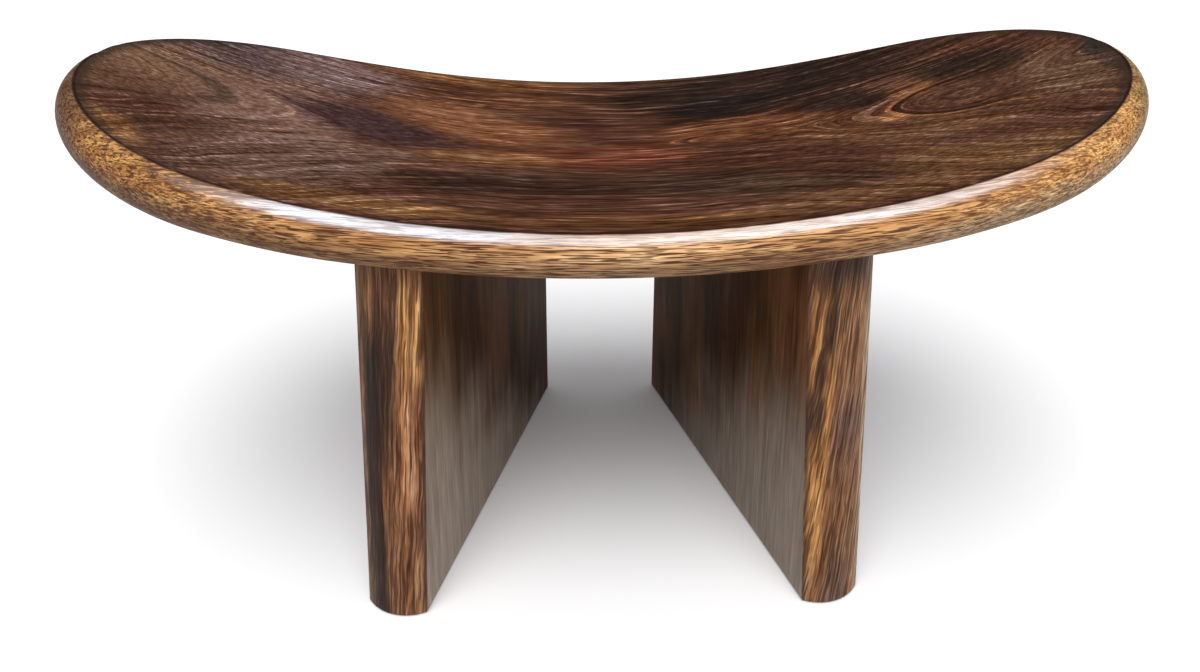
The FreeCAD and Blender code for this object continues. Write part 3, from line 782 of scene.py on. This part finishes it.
@dataclass
class Seat:
    """The upswept oval plank: dished top, full round rim and sawn underside."""

    side_radius: float = 3
    shoulder_outset: float = 175 * MM
    tip_inset: float = 5.9 * MM
    thickness: float = 20.4 * MM
    brim_share: float = 0.3
    top_curve: float = 554 * MM
    under_curve: float = 691 * MM
    dish_depth: float = 3 * MM
    lip_drop: float = 0.9 * MM
    stations: int = 576
    hand_wave: float = 0.14 * MM
    wave_lengths: Triple = (0.045, 0.03, 0.03)
    chip_grain: float = 3.5 * MM
    bullnose_start_mm: float = 1.8
    top_insets: tuple[float, ...] = (11, 8, 5.5, 3.5, 2, 1, 0.35)
    top_rings: int = 26
    rim_rings: int = 22
    under_rings: int = 20
    # chipped spots at the tips: X, Y, reach and depth, all in mm
    chips: tuple[Row, ...] = (
        (-214, 12, 8, 0.4),
        (-208, 24, 6, 0.25),
        (211, 12, 8, 0.45),
        (214, -4, 6, 0.35),
    )
    half_length: float = field(init=False)
    half_width: float = field(init=False)
    under_low: float = field(init=False)

    def __post_init__(self) -> None:
        """Take the plank's length, width and height from its CAD solid."""
        low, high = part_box("seat")
        self.half_length = (high.x - low.x) / 2
        self.half_width = (high.y - low.y) / 2
        self.under_low = low.z

    def top_height(self, x: float, y: float) -> float:
        """Height of the top, hollowed along its length and a little across it."""
        rise = self.dish_depth - self.lip_drop
        half = self.half_width - self.thickness * self.brim_share
        curve = (half * half + rise * rise) / (2 * rise)
        reach = self.top_curve + self.dish_depth - (curve - math.sqrt(curve * curve - y * y))
        return self.under_low + self.thickness + self.top_curve - math.sqrt(reach * reach - x * x)

    def under_height(self, x: float) -> float:
        """Height of the sawn underside."""
        return self.under_low + self.under_curve - math.sqrt(self.under_curve**2 - x * x)

    def outline(self, turn: float) -> tuple[Vector, Vector]:
        """The plan outline, by equal steps along it.

        Args:
            turn: share of the way round from the right tip, from 0 to 1.

        Returns:
            The point and its outward direction, both flat.
        """
        tip = self.half_width - self.tip_inset
        shoulder = self.half_width + self.shoulder_outset
        side = self.side_radius
        tip_centre = Vector((self.half_length - tip, 0))
        side_centre = Vector((0, self.half_width - side))
        base = tip_centre - side_centre
        along = ((side - shoulder) ** 2 - (shoulder - tip) ** 2 + base.length_squared) / (2 * base.length)
        across = math.sqrt((side - shoulder) ** 2 - along**2)
        unit = base.normalized()
        shoulder_centre = side_centre + unit * along + Vector((-unit.y, unit.x)) * across
        normals = tip_centre - shoulder_centre, shoulder_centre - side_centre
        angles = (0, *(math.atan2(normal.y, normal.x) for normal in normals), math.pi / 2)
        centres = tip_centre, shoulder_centre, side_centre
        arcs = list(zip(centres, (tip, shoulder, side), angles, angles[1:]))
        quarter = (turn % 1) * 4
        part = 1 - quarter % 1 if int(quarter) % 2 else quarter % 1
        distance = part * sum(radius * (end - start) for _, radius, start, end in arcs)
        for centre, radius, start, end in arcs:
            length = radius * (end - start)
            if distance <= length + 1e-12:
                break
            distance -= length
        angle = start + min(distance, length) / radius
        outward = Vector((math.cos(angle), math.sin(angle)))
        flip = Vector((1 if int(quarter) in (0, 3) else -1, 1 if quarter < 2 else -1))
        return (centre + outward * radius) * flip, outward * flip

    def station(self, turn: float) -> Station:
        """Work out the rim's cross-section at a share of the way round."""
        edge, outward = self.outline(turn)
        radius = self.thickness / 2
        for _ in range(4):
            centre = edge - outward * radius
            x = centre.x
            sawn_top = self.under_low + self.thickness + self.top_curve
            sawn_top -= math.sqrt(self.top_curve**2 - x * x)
            under = self.under_height(x)
            slope = (math.asin(x / self.top_curve) + math.asin(x / self.under_curve)) / 2
            radius = (sawn_top - under) / 2 * math.cos(slope)
        normal = Vector((-math.sin(slope), 0, math.cos(slope)))
        flat = Vector((outward.x, outward.y, 0))
        proud = (flat - normal * flat.dot(normal)).normalized()
        middle = Vector((centre.x, centre.y, (sawn_top + under) / 2))
        low, high = 0, math.pi / 2
        for _ in range(40):
            angle = (low + high) / 2
            point = middle + (normal * math.cos(angle) + proud * math.sin(angle)) * radius
            if point.z > self.top_height(point.x, point.y):
                low = angle
            else:
                high = angle
        crest = middle + (normal * math.cos(high) + proud * math.sin(high)) * radius
        return Station(crest, outward, middle, radius, normal, proud, high)

    def ring_plan(self) -> list[tuple[Zone, float]]:
        """Every ring from the middle of the top to the middle of the underside, with its place."""
        top = [-k / (self.top_rings + 1) for k in range(1, self.top_rings + 1)]
        rim = [-k / self.rim_rings for k in range(1, self.rim_rings + 1)]
        under = [1 - k / (self.under_rings + 1) for k in range(1, self.under_rings + 1)]
        zones = (Zone.TOP, (*top, *self.top_insets, 0)), (Zone.RIM, (0.35, 1.1, *rim)), (Zone.UNDER, under)
        return [(zone, place) for zone, places in zones for place in places]

    def rim_point(self, station: Station, place: float) -> tuple[Vector, float]:
        """A point on the round rim.

        Args:
            station: the cross-section.
            place: millimetres past the crest, or minus the share of the way to the underside.

        Returns:
            The point, and its distance round the rim from the crest in mm.
        """
        start = self.bullnose_start_mm * MM / station.radius
        if place >= 0:
            angle = station.crest_angle + place * MM / station.radius
        else:
            angle = station.crest_angle + start + (math.pi - station.crest_angle - start) * -place
        sweep = station.normal * math.cos(angle) + station.proud * math.sin(angle)
        point = station.centre + sweep * station.radius
        return point, (angle - station.crest_angle) * station.radius / MM

    def place_vertex(self, station: Station, zone: Zone, place: float) -> tuple[Vector, float]:
        """Where a vertex goes, and how far it is from the crest along the surface.

        Args:
            station: the cross-section it lies on.
            zone: which stretch of the surface.
            place: the ring's place, as ring_plan gives it.

        Returns:
            The point, and the distance in mm: below nought on the top.
        """
        crest = Vector((station.crest.x, station.crest.y))
        if zone is Zone.TOP:
            if place >= 0:
                flat, distance = crest - station.outward * (place * MM), -place
            else:
                brink = crest - station.outward * (self.top_insets[0] * MM)
                flat = brink * -place
                distance = -self.top_insets[0] - (brink - flat).length / MM
            return Vector((flat.x, flat.y, self.top_height(flat.x, flat.y))), distance
        if zone is Zone.RIM:
            return self.rim_point(station, place)
        last, distance = self.rim_point(station, -1)
        flat = Vector((last.x, last.y)) * place
        sink = last.z - self.under_height(last.x)
        height = self.under_height(flat.x) + sink * place**8
        return Vector((flat.x, flat.y, height)), distance + (last.xy - flat).length / MM

    def wear(self, point: Vector, station: Station, zone: Zone) -> Vector:
        """The hand-finished surface's small waves and its chipped tips, always inwards.

        Args:
            point: the vertex before wear.
            station: its cross-section.
            zone: its stretch of the surface.

        Returns:
            The worn place.
        """
        wave = noise.noise(Vector(place / length for place, length in zip(point, self.wave_lengths)))
        depth = self.hand_wave * (0.5 + 0.5 * wave)
        if zone is Zone.RIM:
            inward = (station.centre - point).normalized()
        else:
            inward = Vector((0, 0, -1 if zone is Zone.TOP else 1))
        if zone is not Zone.UNDER:
            for x, y, reach, bite in self.chips:
                gap = math.hypot(point.x / MM - x, point.y / MM - y) / reach
                if gap < 1:
                    rough = 0.55 + 0.9 * noise.noise(point / self.chip_grain)
                    depth += bite * MM * max(rough, 0) * (1 - gap * gap) ** 2
        return point + inward * depth

    def build(self, finish: Material) -> Object:
        """Model the plank, dress it and hand it to the frame."""
        plan = self.ring_plan()
        bm = bmesh.new()
        segments, around = len(plan) + 1, self.stations * 2
        bmesh.ops.create_uvsphere(bm, u_segments=self.stations, v_segments=segments, radius=1)
        edge_layer = bm.verts.layers.float.new("edge_mm")
        known: dict[int, Station] = {}
        for vertex in bm.verts:
            ring = round(math.acos(max(-1, min(1, vertex.co.z))) / math.pi * segments)
            turn = math.atan2(vertex.co.y, vertex.co.x) / (2 * math.pi) % 1
            key = round(turn * around) % around
            if key not in known:
                known[key] = self.station(key / around)
            if ring == 0:
                zone, vertex.co, vertex[edge_layer] = Zone.TOP, (0, 0, self.top_height(0, 0)), -100
            elif ring == segments:
                zone, vertex.co, vertex[edge_layer] = Zone.UNDER, (0, 0, self.under_low), 130
            else:
                zone, place = plan[ring - 1]
                vertex.co, vertex[edge_layer] = self.place_vertex(known[key], zone, place)
            vertex.co = self.wear(vertex.co, known[key], zone)
        bmesh.ops.recalc_face_normals(bm, faces=bm.faces)
        piece = finish_mesh("seat_plank", bm, finish)
        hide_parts("seat")
        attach(piece, "root")
        return piece


# -------- the legs' shape


@dataclass
class Leg:
    """One slab leg: two flat faces, a domed near edge and a square far edge."""

    side: Side
    seat: Seat
    thickness: float = 28.6 * MM
    inset: float = 18 * MM
    spread: float = 130.4 * MM
    toe: float = math.radians(16.9)
    splay: float = math.radians(2.6)
    rake: float = math.radians(5.5)
    dome_radius: float = 21.6 * MM
    corner: float = 2 * MM
    foot_ease: float = 2 * MM
    levels: int = 44
    foot_levels: int = 5
    calm_levels: int = 6
    hand_wave: float = 0.12 * MM
    wave_lengths: Triple = (0.02, 0.02, 0.035)

    @property
    def node(self) -> str:
        """The CAD node's name."""
        return f"{self.side.name.lower()}_leg"

    def stance(self, sign: int = 1) -> tuple[Vector, Euler]:
        """Where a leg of either sign meets the seat, and its turn: splayed, then toed in."""
        x = self.spread / 2
        joint = Vector((x * sign, 0, self.seat.under_height(x)))
        return joint, Euler((0, -self.splay * sign, self.toe * sign))

    def section(self) -> list[Row]:
        """A level slice of a right-hand leg, anticlockwise.

        Returns:
            For each place: distance out, share of the width from near to far, offset along the
            width, and one on the dome or nought off it.
        """
        half = self.thickness / 2
        edge = [(half, share, 0) for share in (0.004, 0.03, *(0.08 + 0.84 * k / 12 for k in range(13)), 0.97)]
        for angle in (math.pi / 2 * k / 4 for k in range(5)):
            out = half - self.corner * (1 - math.cos(angle))
            edge.append((out, 1, -self.corner * (1 - math.sin(angle))))
        edge += [((half - self.corner) * (1 - k / 4), 1, 0) for k in (1, 2, 3)]
        mirrored = [(-out, share, offset) for out, share, offset in reversed(edge)]
        rows = [(*place, 0) for place in (*edge, (0, 1, 0), *mirrored)]
        bow = math.sqrt(self.dome_radius**2 - half**2)
        lean = math.asin(half / self.dome_radius)
        for angle in (-lean + 2 * lean * k / 24 for k in range(25)):
            out = self.dome_radius * math.sin(angle)
            rows.append((out, 0, bow - self.dome_radius * math.cos(angle), 1))
        return rows

    def column_point(self, row: Row, drop: float) -> Vector:
        """A place on the leg's side.

        Args:
            row: one place of the section.
            drop: distance down the leg from the joint.

        Returns:
            The point in the part's frame, for a right-hand leg.
        """
        out, share, offset, _ = row
        half = self.seat.half_width - self.inset + drop * math.tan(self.rake)
        joint, turn = self.stance()
        return joint + turn.to_matrix() @ Vector((out, -half + 2 * half * share + offset, -drop))

    def reach(self, row: Row) -> tuple[float, float]:
        """How far down the leg a column starts under the seat and ends on the floor."""
        top, foot = 0, self.seat.under_low
        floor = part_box(self.node)[0].z
        for _ in range(8):
            here = self.column_point(row, top)
            top += here.z - self.seat.under_height(here.x)
            foot += self.column_point(row, foot).z - floor
        return top, foot

    def build(self, finish: Material) -> Object:
        """Model the leg, dress it and hand it to the frame."""
        rows = self.section()
        count = len(rows)
        bm = bmesh.new()
        bmesh.ops.create_cone(bm, cap_ends=True, segments=count, radius1=1, radius2=1, depth=2)
        upright = [e for e in bm.edges if abs(e.verts[0].co.z - e.verts[1].co.z) > 1]
        bmesh.ops.subdivide_edges(bm, edges=upright, cuts=self.levels - 1, use_grid_fill=True)
        dome_layer = bm.verts.layers.float.new("dome")
        reaches = [self.reach(row) for row in rows]
        base = math.atan2(bm.verts[:][0].co.y, bm.verts[:][0].co.x)
        for vertex in bm.verts:
            angle = (math.atan2(vertex.co.y, vertex.co.x) - base) / (2 * math.pi)
            index = round(angle * count) % count
            level = round((1 - vertex.co.z) / 2 * self.levels)
            vertex.co = self.place_vertex(rows, reaches[index], index, level)
            vertex[dome_layer] = rows[index][3]
        if self.side is Side.LEFT:
            bmesh.ops.transform(bm, matrix=Matrix.Scale(-1, 4, Vector((1, 0, 0))), verts=bm.verts)
        bmesh.ops.recalc_face_normals(bm, faces=bm.faces)
        piece = finish_mesh(f"{self.node}_board", bm, finish)
        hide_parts(self.node)
        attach(piece, "root")
        return piece

    def place_vertex(self, rows: list[Row], reach: tuple[float, float], index: int, level: int) -> Vector:
        """Where a vertex of the board goes.

        Args:
            rows: the section.
            reach: start and end of its column.
            index: its place in the section.
            level: its level, nought at the top.

        Returns:
            The point, for a right-hand leg.
        """
        top, foot = reach
        plain = self.levels - self.foot_levels
        row = rows[index]
        if level <= plain:
            drop = top + (foot - self.foot_ease - top) * level / plain
            inset = 0
        else:
            angle = math.pi / 2 * (level - plain) / self.foot_levels
            drop = foot - self.foot_ease * (1 - math.sin(angle))
            inset = self.foot_ease * (1 - math.cos(angle))
        point = self.column_point(row, drop)
        before = self.column_point(rows[index - 1], drop)
        after = self.column_point(rows[(index + 1) % len(rows)], drop)
        along = (after - before).normalized()
        inward = Vector((-along.y, along.x, 0)).normalized()
        x, y, z = (place / length for place, length in zip(point, self.wave_lengths))
        wave = noise.noise(Vector((x, y, z + 7 * self.side.value)))
        fade = min(1, (self.levels - level) / self.calm_levels)
        return point + inward * (inset + self.hand_wave * (0.5 + 0.5 * wave) * fade)


def stand(name: str, data: bpy.types.ID) -> Object:
    """Put a new object in the scene."""
    made = bpy.data.objects.new(name, data)
    bpy.context.scene.collection.objects.link(made)
    return made


def finish_mesh(name: str, bm: bmesh.types.BMesh, material: Material) -> Object:
    """Turn a bmesh into a shaded object at the origin.

    Args:
        name: the piece's name.
        bm: the finished shape, freed here.
        material: its finish.

    Returns:
        The new object.
    """
    for face in bm.faces:
        face.smooth = True
    for edge in bm.edges:
        if len(edge.link_faces) == 2 and edge.calc_face_angle(0) > SHARP_EDGE:
            edge.smooth = False
    mesh = bpy.data.meshes.new(name)
    bm.to_mesh(mesh)
    bm.free()
    mesh.materials.append(material)
    return stand(name, mesh)


# -------- dowels, floor, light, camera


@dataclass
class Dowels:
    """The six hidden dowels, which keep their CAD meshes."""

    def dress(self, finish: Material) -> list[str]:
        """Give each dowel its wood and return their names."""
        names = sorted(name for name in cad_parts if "dowel" in name)
        for name in names:
            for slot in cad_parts[name].material_slots:
                slot.material = finish
        return names


@dataclass
class Studio:
    """Plain pale floor, one broad lamp overhead, and the camera."""

    floor_half: float = 9
    camera_place: Triple = (-0.02092, -0.42079, 0.34912)
    look_down: float = 0.5507
    look_right: float = 0.0415
    lens: float = 30
    sensor: float = 36
    sun_strength: float = 2.1
    sun_angle: float = math.radians(44)
    sun_from: Triple = (-0.08, -0.46, 1)
    back_share: float = 0.04
    front_share: float = 0.7
    paper: Colour = (0.75, 0.75, 0.75, 1)
    white: Colour = (1, 1, 1, 1)

    def floor(self) -> Object:
        """Lay the floor, which looks white and keeps the shadow."""
        bm = bmesh.new()
        bmesh.ops.create_grid(bm, x_segments=2, y_segments=2, size=self.floor_half)
        graph = Graph(bpy.data.materials.new("floor_paper"))
        seen = graph.node("LightPath", None, None, "Is Camera Ray")
        surface = graph.node("BsdfDiffuse", None, {"Color": mix(seen, self.paper, self.white)})
        graph.node("OutputMaterial", None, {"Surface": surface})
        piece = finish_mesh("floor", bm, graph.owner)
        return piece

    def sky(self) -> None:
        """Set the surroundings: pale in front and above, dim behind, white to the camera."""
        world = bpy.data.worlds.new("studio")
        bpy.context.scene.world = world
        graph = Graph(world)
        _, back, up = graph.node("TexCoord", None, None, "Generated").split()
        share = (back - up * 0.55).step(-0.25, 0.45, self.front_share, self.back_share)
        seen = graph.node("LightPath", None, None, "Is Camera Ray")
        colour = mix(seen, combine(share, share, share * 1.03), self.white)
        surface = graph.node("Background", None, {"Color": colour, "Strength": 1})
        graph.node("OutputWorld", None, {"Surface": surface})

    def lamp(self) -> None:
        """Hang the broad overhead lamp."""
        data = bpy.data.lights.new("overhead", "SUN")
        data.energy = self.sun_strength
        data.angle = self.sun_angle
        stand("overhead", data).rotation_euler = Vector(self.sun_from).to_track_quat("Z", "Y").to_euler()

    def camera(self) -> None:
        """Stand the camera in front, a little above the seat."""
        data = bpy.data.cameras.new("camera")
        data.lens = self.lens
        data.sensor_width = self.sensor
        data.clip_start = 0.01
        camera = stand("camera", data)
        camera.location = self.camera_place
        camera.rotation_euler = (math.pi / 2 - self.look_down, 0, -self.look_right)
        bpy.context.scene.camera = camera

    def build(self) -> None:
        """Set up everything that isn't the object."""
        self.floor()
        self.sky()
        self.lamp()
        self.camera()
        bpy.context.scene.view_settings.view_transform = "Standard"


def main() -> None:
    """Build every piece in order, then the studio."""
    logging.basicConfig(level=logging.INFO, format="%(name)s: %(message)s")
    seat = Seat()
    pieces = [seat.build(SeatWood().build())]
    for leg in (Leg(side, seat) for side in Side):
        pieces.append(leg.build(LEG_WOODS[leg.side].build(leg)))
    for piece in pieces:
        LOG.info("%s: %d vertices, %d faces", piece.name, len(piece.data.vertices), len(piece.data.polygons))
    LOG.info("dowels: %s", ", ".join(Dowels().dress(DowelWood().build())))
    Studio().build()


if __name__ == "__main__":
    main()
